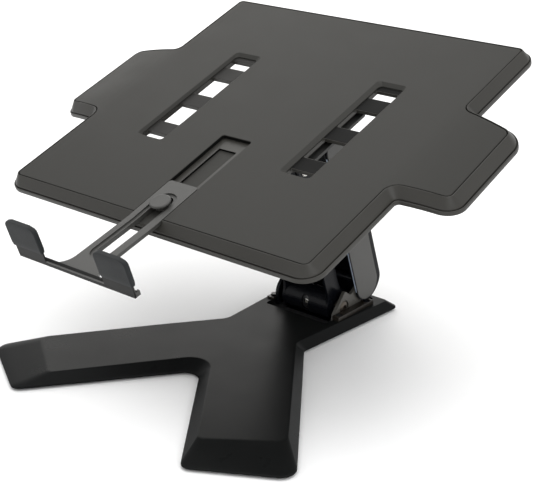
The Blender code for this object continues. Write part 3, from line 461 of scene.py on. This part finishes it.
def build_tray_rim():
    """Sloped rim with its lower lip, and the web under the top panel."""
    rim = [(-0.0012, WEB_BOTTOM), (-0.0012, -0.0115), (-0.0009, RIM_BOTTOM), (0.0067, RIM_BOTTOM),
           (0.0072, -0.0116), (0.0074, -0.0111), (0.0074, -0.0087), (0.0072, -0.0081), (0.0068, -0.0079),
           (0.0065, -0.0082), (0.0064, -0.0094), (0.0058, -0.0094), (0.0058, -0.0078), (0.0056, -0.0072),
           (0.0051, -0.0064), (0.0010, -0.0012), (0.0004, -0.0003), (0.0, 0.0), (-0.0003, 0.0),
           (-0.0004, -0.0002), (-0.0004, WEB_TOP)]
    shell = lofted([(tray_outline(distance), height) for distance, height in rim])
    cutters = [box_mesh(-CHANNEL_HALF, CHANNEL_HALF, -PAST, 0.004, WEB_TOP - GAP, PAST),
               box_mesh(-GUIDE_HALF, GUIDE_HALF, -PAST, GUIDE_REAR, GUIDE_FLOOR, PAST),
               rod_mesh(CLAMP_BORE, -PAST, PAST, 32, Matrix.Translation((0, KNOB_V, 0)))]
    for side in (-1, 1):
        left, right = on_side(side, WINDOW_U[0] - 0.0007, WINDOW_U[1] + 0.0003)
        for front, rear in WINDOW_V:
            cutters.append(flat_plate([box_outline(left, right, front, rear, 0.0008, 4)], -PAST, PAST))
    shell = droop_wings(boolean(shell, cutters))
    made = piece("tray_rim", shell, TRAY_RIM, "tray", ["tray_frame"], TRAY)
    repaint(made, TRAY_TOP, lambda at, up: up.z > LEVEL and -0.0055 < at.z < -0.0034)
    # Upright walls of the channels near the middle are painted black as shade.
    repaint(made, SLOT_SHADE_BLACK, lambda at, up: (abs(up.z) < UPRIGHT and abs(at.x) < 0.02
                                              and 0.003 < at.y < CHANNEL_REAR + 0.0025))


def slot_cutter(side):
    """One long slot of the top panel, with its sloped walls."""
    rings = []
    for (near, far, front, rear), height, spread in (
            (SLOT_FLOOR, -0.0050, 0.0), (SLOT_FLOOR, -0.0023, 0.0), (SLOT_FLOOR, -0.0020, 0.0003),
            (SLOT_MOUTH, -0.0003, -0.0004), (SLOT_MOUTH, 0.0, 0.0001), (SLOT_MOUTH, 0.0030, 0.0001)):
        left, right = on_side(side, near - spread, far + spread)
        rings.append((box_outline(left, right, front - spread, rear + spread, 0.0035), height))
    return lofted(rings)


def build_tray_top():
    """Top panel with its two long slots and the stop's channel."""
    edge = [(-0.0012, -0.0030), (-0.0012, -0.0006), (-0.0014, -0.0002), (-0.0018, 0.0)]
    panel = lofted([(tray_outline(distance), height) for distance, height in edge])
    channel = []
    for spread, height in ((0.0, -0.0050), (0.0, -0.0004), (0.0003, 0.0), (0.0003, 0.003)):
        half = CHANNEL_HALF + spread
        channel.append((box_outline(-half, half, -PAST, CHANNEL_REAR + spread, 0.0025), height))
    panel = droop_wings(boolean(panel, [slot_cutter(-1), slot_cutter(1), lofted(channel)]))
    made = piece("tray_top", panel, TRAY_TOP, "tray", ["tray_panel"], TRAY)
    # Upright walls of the stop's channel are painted black as shade.
    repaint(made, SLOT_SHADE_BLACK, lambda at, up: (abs(up.z) < UPRIGHT and abs(at.x) < CHANNEL_HALF + 0.0006
                                              and at.y < CHANNEL_REAR + 0.0015))


LEVEL, UPRIGHT = 0.8, 0.3          # a face lies flat if its normal's z is over 0.8 and stands if under 0.3


def repaint(made, look, wanted):
    """Second material for a tray piece's faces whose centre and normal, in the tray's frame, are wanted; used for
    the top panel's plastic and for painted shade.
    """
    made.data.materials.append(look)
    back = TRAY.inverted()
    for face in made.data.polygons:
        if wanted(back @ face.center, back.to_3x3() @ face.normal):
            face.material_index = len(made.data.materials) - 1


def build_slot_bar_shade():
    """Thin sheets on the frame's cross bars, seen inside the two long slots, painted with the shade that lies on
    them.
    """
    margin = 0.0005
    starts = [rear for _, rear in WINDOW_V]
    ends = [front for front, _ in WINDOW_V[1:]] + [SLOT_FLOOR[3]]
    # Left bars get the dark grey and right bars the black, both painted shade that differs with the light.
    for name, side, look in (("slot_bars_left", -1, SLOT_BAR_SHADE_GREY), ("slot_bars_right", 1, SLOT_SHADE_BLACK)):
        left, right = on_side(side, SLOT_FLOOR[0] + GAP, SLOT_FLOOR[1] - GAP)
        first, *others = [box_mesh(left, right, start + margin, end - margin, WEB_TOP - 0.0001,
                                   WEB_TOP + 0.0002) for start, end in zip(starts, ends)]
        piece(name, boolean(first, others, "UNION"), look, "tray", (), TRAY)


def build_ribs():
    """Stiffening ribs on the underside of the tray."""
    inset, bottom, corner = -0.0014, -0.0100, 0.0030
    columns = [(-0.0290, 0.0290)]
    for near, far in ((0.0305, 0.0595), (0.0610, 0.0910), (0.0925, 0.1435)):
        columns += [(near, far), (-far, -near)]
    rows = [(0.0055, 0.0470), (0.0485, 0.0985), (0.1000, 0.1440), (0.1455, 0.1870), (0.1885, 0.2300),
            (0.2315, 0.2885)]
    cells = [(left, right, front, rear) for left, right in columns for front, rear in rows]
    for front, rear in ((0.1140, 0.1500), (0.1515, 0.1885)):
        cells += [(0.1450, 0.1885, front, rear), (-0.1885, -0.1450, front, rear)]
    outlines = [tray_outline(inset)] + [box_outline(*cell, corner, 4) for cell in cells]
    ribs = droop_wings(flat_plate(outlines, bottom, WEB_BOTTOM - 0.00002))
    piece("tray_ribs", ribs, TRAY_RIM, "tray", (), TRAY)


def build_tray_plate():
    """Steel plate under the tray, with the two lugs of the tilt hinge."""
    bottom, top, screw_bore = -0.0140, -0.0115, 0.0019
    lug_inside, lug_outside, lug_radius, lug_reach = 0.0225, 0.0255, 0.008, 0.014
    screws = [(-0.050, 0.115), (0.050, 0.115), (-0.050, 0.180), (0.050, 0.180)]
    outlines = [box_outline(-0.066, 0.066, 0.105, 0.190, 0.006)]
    outlines += [circle(at, screw_bore, 24) for at in screws]
    lug = arc((TILT_V, TILT_N), lug_radius, 180, 360, 24)
    lug += [(TILT_V + lug_reach, bottom + 0.0010), (TILT_V - lug_reach, bottom + 0.0010)]
    bore = circle((TILT_V, TILT_N), BOLT_BORE)
    lugs = [side_plate([lug, bore], *on_side(side, lug_inside, lug_outside)) for side in (1, -1)]
    plate = boolean(flat_plate(outlines, bottom, top), lugs, "UNION")
    piece("tray_plate_steel", plate, PLATE_GREY, "tray", ["tray_plate"], TRAY,
          edge=0.0003)


def raise_front(mesh):
    """Fold the arm so that it climbs towards its front plate."""
    work = bmesh.new()
    work.from_mesh(mesh)
    split(work, (0, STOP_FOLD, 0), (0, 1, 0))
    for vertex in work.verts:
        vertex.co.z += STOP_RISE * max(STOP_FOLD - vertex.co.y, 0.0)
    work.to_mesh(mesh)
    work.free()
    return mesh


def build_stop():
    """Sliding stop: the stepped arm with its uprights, a dark front strip and two pads."""
    rear_face = STOP_FRONT + STOP_SHEET
    lip_width = 0.0009
    upright_top = PAD[3] - 0.0029 + STOP_RISE * (STOP_FRONT - STOP_FOLD)
    right_half = [(STOP_SPREAD, STOP_FRONT + 0.0002, 0.0), (STOP_SPREAD, rear_face, 0.0),
                  (STOP_HALF, rear_face, 0.014), (STOP_HALF, STOP_REAR, 0.0025)]
    slot = stadium(SLOT_HALF - SLOT_STEP, SLOT_LOW + SLOT_STEP, SLOT_HIGH - SLOT_STEP)
    sheet = flat_plate([rounded(mirrored(right_half)), slot], -0.0030, 0.0)
    lip = stadium(SLOT_HALF - lip_width, SLOT_LOW + lip_width, SLOT_HIGH - lip_width)
    joined = [flat_plate([lip, slot], -0.0048, -0.0020)]
    for side in (-1, 1):
        left, right = on_side(side, PAD[0] + 0.0012, PAD[1] - 0.0020)
        joined.append(box_mesh(left, right, STOP_FRONT + 0.0005, rear_face - 0.0001, -0.0020, upright_top))
        left, right = on_side(side, STOP_SPREAD - STOP_SHEET, STOP_SPREAD - 0.0001)
        joined.append(box_mesh(left, right, STOP_FRONT + 0.0005, rear_face + 0.0035, STOP_DROP + 0.0002,
                               0.0004))
    arm = boolean(sheet, joined, "UNION")
    arm = boolean(arm, [flat_plate([stadium(SLOT_HALF, SLOT_LOW, SLOT_HIGH)], -0.0012, PAST)])
    piece("stop_slider", raise_front(arm), STOP_PLASTIC, "stop", ["stop_arm"], TRAY,
          edge=0.0003)
    build_front_strip()
    for name, side in (("stop_pad_cushion_left", -1), ("stop_pad_cushion_right", 1)):
        build_pad(name, side)


def build_front_strip():
    """Dark bead along the front of the stop, with the foot of each upright."""
    bead = [(0.0, STOP_DROP), (0.0020, STOP_DROP), (0.0036, -0.0020), (0.0042, 0.0003), (0.0034, 0.0010),
            (0.0020, 0.0006), (0.0006, -0.0004), (0.0, -0.0014)]
    outline = [(STOP_FRONT + back, height) for back, height in bead]
    strip = side_plate([outline], 0.0002 - STOP_SPREAD, STOP_SPREAD - 0.0002)
    skins = []
    for side in (-1, 1):
        left, right = on_side(side, PAD[0] + 0.0002, PAD[1] - 0.0018)
        skins.append(box_mesh(left, right, STOP_FRONT + 0.0001, STOP_FRONT + 0.0012, -0.0030,
                              PAD[2] - 0.0030))
    strip = boolean(strip, skins, "UNION")
    piece("stop_front_plate", raise_front(strip), STOP_DARK, "stop", (), TRAY,
          edge=0.0005)


def build_pad(name, side):
    """Moulded rubber sleeve over one upright: crowned top, soft edges, pulled in at its foot."""
    near, far, bottom, top = PAD
    middle, half = (PAD_FRONT + PAD_REAR) / 2, (PAD_REAR - PAD_FRONT) / 2
    sections, corner = 14, 0.0011
    crown_start, crown_inset, crown_thinning = 0.78, 0.0056, 0.22
    foot_end, foot_inset = 0.12, 0.0004
    rings = []
    for step in range(sections + 1):
        share = step / sections
        crown = max(0.0, (share - crown_start) / (1 - crown_start))
        inset = crown_inset * (1 - math.sqrt(max(1 - crown ** 2, 0.0)))
        foot = foot_inset * max(0.0, (foot_end - share) / foot_end)
        thick = half * (1 - crown_thinning * crown ** 2) - foot
        left, right = near + foot + inset, far - foot - inset
        section = box_outline(left, right, middle - thick, middle + thick, corner, 5)
        rings.append(([(side * x, y) for x, y in section], bottom + (top - bottom) * share))
    node = "stop_pad_left" if side < 0 else "stop_pad_right"
    made = piece(name, lofted(rings), PAD_RUBBER, "stop", [node], TRAY, edge=0.0006, segments=3,
                 bevel_angle=50.0)


def build_knob():
    """Flat clamp knob with a finely notched edge, on its hub."""
    profile = [(0, 0.0031), (0.0058, 0.0031), (0.0064, 0.0033), (0.0074, 0.0033), (0.0081, 0.0030),
               (0.0085, 0.0025), (0.0086, 0.0020), (0.0086, 0.0017), (0.0083, 0.0014), (0.0050, 0.0014),
               (0.0050, -0.0030), (0, -0.0030)]
    notch, notch_circle, notches = 0.0006, 0.0090, 24
    grips = [rod_mesh(notch, 0.0, 0.0026, 12, Matrix.Translation((x, y, 0)))
             for x, y in circle((0, 0), notch_circle, notches)]
    piece("knob_disc", boolean(turned_mesh(profile, 72), grips), STOP_PLASTIC, "clamp", ["clamp_knob"],
          TRAY @ Matrix.Translation((0, KNOB_V, 0)))


def base_outline(inset):
    return rounded(grown(mirrored(BASE_CREASE), -inset))


def build_base():
    """Y-shaped base shell with sloped sides, whose top falls towards the toes."""
    edge, crease = rounded(mirrored(BASE_EDGE)), rounded(mirrored(BASE_CREASE))
    inner_edge = rounded(grown(mirrored(BASE_EDGE), -0.0003))
    rise = BASE_TOP - SKIRT_EDGE
    rings = [(inner_edge, SKIRT_BOTTOM), (edge, SKIRT_BOTTOM + 0.0003), (edge, SKIRT_EDGE - 0.0004),
             (blended(edge, crease, 0.03), SKIRT_EDGE + 0.06 * rise)]
    rings += [(blended(edge, crease, share), SKIRT_EDGE + height * rise) for share, height in
              ((0.25, 0.28), (0.50, 0.53), (0.75, 0.78), (0.93, 0.955), (0.98, 0.990))]
    rings += [(base_outline(0.0004), BASE_TOP - 0.00002), (base_outline(0.0012), BASE_TOP)]
    work = bmesh.new()
    work.from_mesh(lofted(rings))
    split(work, (0, LEG_FOLD, 0), (0, 1, 0))
    for vertex in work.verts:
        share = max(vertex.co.z - SKIRT_EDGE, 0.0) / rise
        vertex.co.z -= share * LEG_FALL * max(LEG_FOLD - vertex.co.y, 0.0)
    cutters = [flat_plate([base_outline(0.0006)], -PAST, BASE_CEILING),
               flat_plate([box_outline(*BASE_RECESS, 0.003)], 0.0, PAST)]
    shell = boolean(finished(work), cutters)
    piece("base_shell", shell, BASE_PLASTIC, "base", ["base_cover"],
          Matrix.Translation((0, BASE_SHIFT, 0)))


def bolt_seat(side):
    """Cutter for the round seat on the outside of an ear, for the lift bolt's head or its nut."""
    middle, reach = side * 0.0331, 0.0017
    return cross_rod(BUSH_BORE, LIFT_Y, LIFT_Z, middle - reach, middle + reach)


def build_bracket():
    """Hinge bracket on the base: a blunt left ear, a pointed right ear, the floor and two screwed feet."""
    boss_radius, lobe_radius = 0.0080, 0.0139
    foot_line = [(LIFT_Y - 0.0155, EAR_BOTTOM), (REAR_Y + boss_radius, EAR_BOTTOM)]
    boss = arc((REAR_Y, REAR_Z), boss_radius, 0, 150, 24)
    dip = rounded([(REAR_Y - 0.0069, REAR_Z + 0.0040, 0.0), (LIFT_Y + 0.0090, LIFT_Z + 0.0085, 0.0040),
                   (LIFT_Y + 0.0009, LIFT_Z + 0.0150, 0.0020),
                   (LIFT_Y - lobe_radius, LIFT_Z - 0.0021, 0.0)])
    bores = [circle((LIFT_Y, LIFT_Z), BOLT_BORE), circle((REAR_Y, REAR_Z), PIN_BORE)]
    lobe = arc((LIFT_Y, LIFT_Z), lobe_radius, 62, 180, 30)
    pointed = [foot_line + boss[:-1] + dip] + bores
    blunt = [[(LIFT_Y - lobe_radius, EAR_BOTTOM), foot_line[1]] + boss + lobe] + bores
    # The left ear is drawn in the black steel as painted shade, while the right ear of the same bracket is grey.
    for name, side, outlines, look in (("bracket_ear_left", -1, blunt, BLACK_STEEL),
                                       ("bracket_ear_right", 1, pointed, EAR_STEEL)):
        ear = side_plate(outlines, *on_side(side, EAR_INSIDE, EAR_OUTSIDE))
        piece(name, boolean(ear, [bolt_seat(side)]), look, "base", ["hinge_bracket"],
              edge=0.0003)
    reach = EAR_INSIDE - 0.0002
    floor = box_mesh(-reach, reach, LIFT_Y + 0.0130, LIFT_Y + 0.0390, EAR_BOTTOM, EAR_BOTTOM + 0.0025)
    piece("bracket_floor", floor, BLACK_STEEL, "base", ["hinge_bracket"], edge=0.0003)
    for name, side, top in (("bracket_foot_left", -1, 0.0136), ("bracket_foot_right", 1, 0.0155)):
        left, right = on_side(side, FOOT_INSIDE, FOOT_OUTSIDE)
        bar = box_mesh(left, right, FOOT_FRONT + BASE_SHIFT, FOOT_REAR + BASE_SHIFT, BASE_TOP, top)
        holes = [bolt_seat(side)]
        for y in FLANGE_SCREWS_Y:
            seat_at = Matrix.Translation((side * FLANGE_SCREW_X, y + BASE_SHIFT, 0))
            for radius, bottom in ((0.0031, 0.0134), (0.0019, 0.0)):
                holes.append(rod_mesh(radius, bottom, PAST, 32, seat_at))
        piece(name, boolean(bar, holes), FLANGE_DARK, "base", ["hinge_bracket"],
              edge=0.0005, segments=3)


def build_lift_bolt():
    """Domed socket head, seen on the right ear."""
    tip, seat, shank_end = 0.0326, 0.0317, -0.0314
    head, shank = 0.0056, 0.0040
    profile = [(0, tip + 0.0008), (0.0020, tip + 0.00075), (0.0036, tip + 0.0005), (0.0048, tip),
               (0.0054, tip - 0.0003), (head, tip - 0.0006), (head, seat), (shank, seat),
               (shank, shank_end), (0, shank_end)]
    socket = rod_mesh(0.0024, tip - 0.0008, tip + 0.01, 6)
    piece("lift_bolt_head", boolean(turned_mesh(profile), [socket]), BOLT_STEEL, "base", ["lift_bolt"],
          Matrix.Translation((0, LIFT_Y, LIFT_Z)) @ SIDEWAYS)


def link_outline(length, eye, hub, fillet):
    """Link with a large round hub at the origin that flows into straight sides."""
    rise = math.sqrt((hub + fillet) ** 2 - (eye + fillet) ** 2)
    swing = math.degrees(math.atan2(rise, eye + fillet))
    points = arc((eye + fillet, rise), fillet, 180 + swing, 180, 12)
    points += arc((0, length), eye, 0, 180, 24)
    points += arc((-eye - fillet, rise), fillet, 0, -swing, 12)
    points += arc((0, 0), hub, 180 - swing, 360 + swing, 56)[1:-1]
    return points


def build_lower_link():
    """Lower link: two side plates, a web between them, and the spring barrel with its oval window."""
    inside, outside, barrel, wall = 0.0225, 0.0250, 0.0142, 0.0022
    outline = link_outline(ARM_LENGTH, 0.0080, barrel, 0.020)
    holes = [circle((0, 0), BUSH_BORE), circle((0, ARM_LENGTH), PIN_BORE)]
    reach = inside + 0.001
    sheet = arc((0, 0), barrel - 0.0003, 80, 330, 72) + arc((0, 0), barrel - wall, 330, 80, 72)
    web = box_mesh(-reach, reach, 0.0055, 0.0080, 0.030, 0.106)
    link = boolean(side_plate([outline] + holes, inside, outside),
                   [side_plate([outline] + holes, -outside, -inside), side_plate([sheet], -reach, reach),
                    web], "UNION")
    window = flat_plate([stadium(0.0037, -0.0070, 0.0070)], 0.0080, 0.020)
    window.transform(Matrix.Rotation(math.radians(90) - LEAN, 4, "X"))
    piece("lower_link_barrel", boolean(link, [window]), BLACK_STEEL, "lower_arm", ["lower_link"],
          LOWER, edge=0.00035)


def cover_side(half):
    """Side of the cover, half wide to the front and to the rear of its middle line."""
    return stadium(half, -half, ARM_LENGTH + half, 40)


def bulged(outline, half):
    """The same side with its rear edge bulging into a thick rounded back."""
    return [(y + COVER_BULGE * (max(y, 0.0) / half) ** 2, z) for y, z in outline]


def build_cover():
    """Arm cover: a black shell with rounded edges and a grey panel let into each side."""
    half, inside, outside, far = COVER_HALF, COVER_INSIDE, COVER_OUTSIDE, 0.030
    hollow = half - 0.0020
    recess, panel = cover_side(0.01445), cover_side(0.01425)
    recess_depth, panel_depth = 0.0006, 0.0005
    inner = arc((0, 0), hollow, -45, 0, 12)
    inner += [(hollow, ARM_LENGTH - 0.002), (far, ARM_LENGTH - 0.002), (far, ARM_LENGTH + far),
              (-far, ARM_LENGTH + far), (-far, -far), (far * 0.7, -far * 0.7)]
    rearward = Matrix.Rotation(math.radians(-90), 4, "X")
    cutters = [side_plate([inner], -inside, inside), side_plate([recess], outside - recess_depth, 0.05),
               side_plate([recess], -0.05, recess_depth - outside)]
    for radius, start in ((0.0019, 0.0), (0.0038, half - 0.0001)):
        cutters += [rod_mesh(radius, start, PAST, 32, Matrix.Translation((0, 0, height)) @ rearward)
                    for height in COVER_SCREWS]
    shell = boolean(side_plate([bulged(cover_side(half), half)], -outside, outside), cutters)
    piece("cover_shell", shell, COVER_BLACK, "rear_arm", ["arm_cover"], REAR, edge=0.0007,
          segments=3, bevel_angle=40.0)
    for name, side in (("cover_panel_left", -1), ("cover_panel_right", 1)):
        sheet = side_plate([panel], *on_side(side, outside - panel_depth, outside))
        piece(name, sheet, COVER_PANEL, "rear_arm", ["arm_cover"], REAR, edge=0.0002)


def build_cover_highlight_and_trim():
    """Light strips on the cover's front edges as a painted highlight, the curved tail that closes its foot, and
    the rear link's guard.
    """
    half = COVER_HALF
    # Thin light strips on the front of each cheek: a painted highlight.
    for name, side in (("cover_edge_highlight_left", -1), ("cover_edge_highlight_right", 1)):
        left, right = on_side(side, COVER_INSIDE + 0.0004, COVER_OUTSIDE - 0.0004)
        strip = box_mesh(left, right, -half - 0.0001, 0.0006 - half, 0.0010, ARM_LENGTH - 0.0010)
        piece(name, strip, EDGE_GLINT, "rear_arm", (), REAR, edge=0.0002)
    tail = arc((0, 0), half - 0.0002, -115, -42, 24) + arc((0, 0), half - 0.0018, -42, -115, 24)
    piece("cover_tail", side_plate([tail], -0.0293, 0.0293), COVER_BLACK, "rear_arm", (),
          REAR, edge=0.0003)
    guard = box_mesh(-0.0262, 0.0262, 0.0067, 0.0083, -0.0040, 0.0218)
    piece("rear_link_guard", guard, BLACK_STEEL, "rear_arm", (), REAR, edge=0.0003)


def build_tension_screw():
    """Bright socket screw that adjusts the springs, in the barrel's window."""
    facing = Matrix.Rotation(math.radians(90), 4, "X")
    profile = [(0, 0.0116), (0.0019, 0.0116), (0.0026, 0.0112), (0.0029, 0.0105), (0.0029, 0.0071),
               (0, 0.0071)]
    screw = turned_mesh(profile, 48)
    socket = rod_mesh(0.0014, 0.0098, 0.02, 6)
    piece("tension_screw_head", boolean(screw, [socket]), ZINC, "tension", ["tension_screw"],
          Matrix.Translation(PIVOT["lift"]) @ facing)


DARK_NODES = ("lift_nut", "flange_screw", "rear_pivot_pin", "lift_bush")


def paint_cad_nodes():
    """Better finishes on the CAD nodes that keep their shape."""
    looks = {"base_plastic": BASE_PLASTIC, "satin_black_steel": BLACK_STEEL, "cover_plastic": COVER_PANEL,
             "rubber": FOOT_RUBBER, "zinc_steel": ZINC, "raw_steel": DARK_STEEL, "nylon": NYLON,
             "charcoal_plastic": TRAY_RIM}
    slots = {entry["node"]: entry["material_slot"] for entry in frame["record"]["subparts"]}
    for name, node in frame["nodes"].items():
        look = BLACK_STEEL if name.startswith(DARK_NODES) else looks[slots[name]]
        for material_slot in node.material_slots:
            material_slot.material = look


# ---------------------------------------------------------------- studio

def soft_light(name, at, target, size, watts, colour=(1.0, 1.0, 1.0)):
    lamp = bpy.data.lights.new(name, "AREA")
    lamp.shape = "SQUARE"
    lamp.size = size
    lamp.energy = watts
    lamp.color = colour
    made = bpy.data.objects.new(name, lamp)
    made.location = at
    made.rotation_euler = (Vector(target) - Vector(at)).to_track_quat("-Z", "Y").to_euler()
    bpy.context.scene.collection.objects.link(made)


def build_studio():
    work = bmesh.new()
    bmesh.ops.create_grid(work, x_segments=2, y_segments=2, size=6.0)
    floor = bpy.data.objects.new("studio_floor", finished(work))
    floor.data.materials.append(surface("floor_paper", (0.93, 0.93, 0.93), 0.85, grain=0.02,
                                        grain_size=0.002, mottle=0.004, rough_spread=0.02, specular=0.2))
    bpy.context.scene.collection.objects.link(floor)
    world = bpy.data.worlds.new("studio")
    world.use_nodes = True
    world.node_tree.nodes["Background"].inputs["Color"].default_value = (1.0, 1.0, 1.0, 1.0)
    world.node_tree.nodes["Background"].inputs["Strength"].default_value = 1.0
    bpy.context.scene.world = world
    soft_light("overhead", (0.1, 0.1, 1.5), (0, 0, 0.1), 1.6, 12.0)
    soft_light("rear_left", (-1.1, 1.0, 0.9), (0, 0, 0.15), 1.0, 6.0, (1.0, 0.98, 0.94))
    soft_light("front_right", (1.3, -0.6, 0.9), (0, 0, 0.1), 0.8, 4.0, (0.98, 0.99, 1.0))


def build_camera():
    place, yaw, pitch, roll = Vector((0.6522, -0.7438, 0.4892)), 0.6967, -0.3746, 0.0055
    forward = Vector((-math.sin(yaw) * math.cos(pitch), math.cos(yaw) * math.cos(pitch), math.sin(pitch)))
    level = Vector((math.cos(yaw), math.sin(yaw), 0.0))
    upright = level.cross(forward)
    right = level * math.cos(roll) + upright * math.sin(roll)
    above = upright * math.cos(roll) - level * math.sin(roll)
    turn = Matrix((right, above, -forward)).transposed()
    camera = bpy.data.objects.new("photo_camera", bpy.data.cameras.new("photo_camera"))
    camera.data.sensor_width = 36.0
    camera.data.lens = 88.94
    camera.matrix_world = Matrix.Translation(place) @ turn.to_4x4()
    bpy.context.scene.collection.objects.link(camera)
    bpy.context.scene.camera = camera
    bpy.context.scene.view_settings.view_transform = "Standard"


paint_cad_nodes()
build_camera()
build_studio()
build_tray_rim()
build_ribs()
build_slot_bar_shade()
build_tray_top()
build_tray_plate()
build_stop()
build_knob()
build_base()
build_bracket()
build_lift_bolt()
build_lower_link()
build_cover()
build_cover_highlight_and_trim()
build_tension_screw()
bpy.context.view_layer.update()
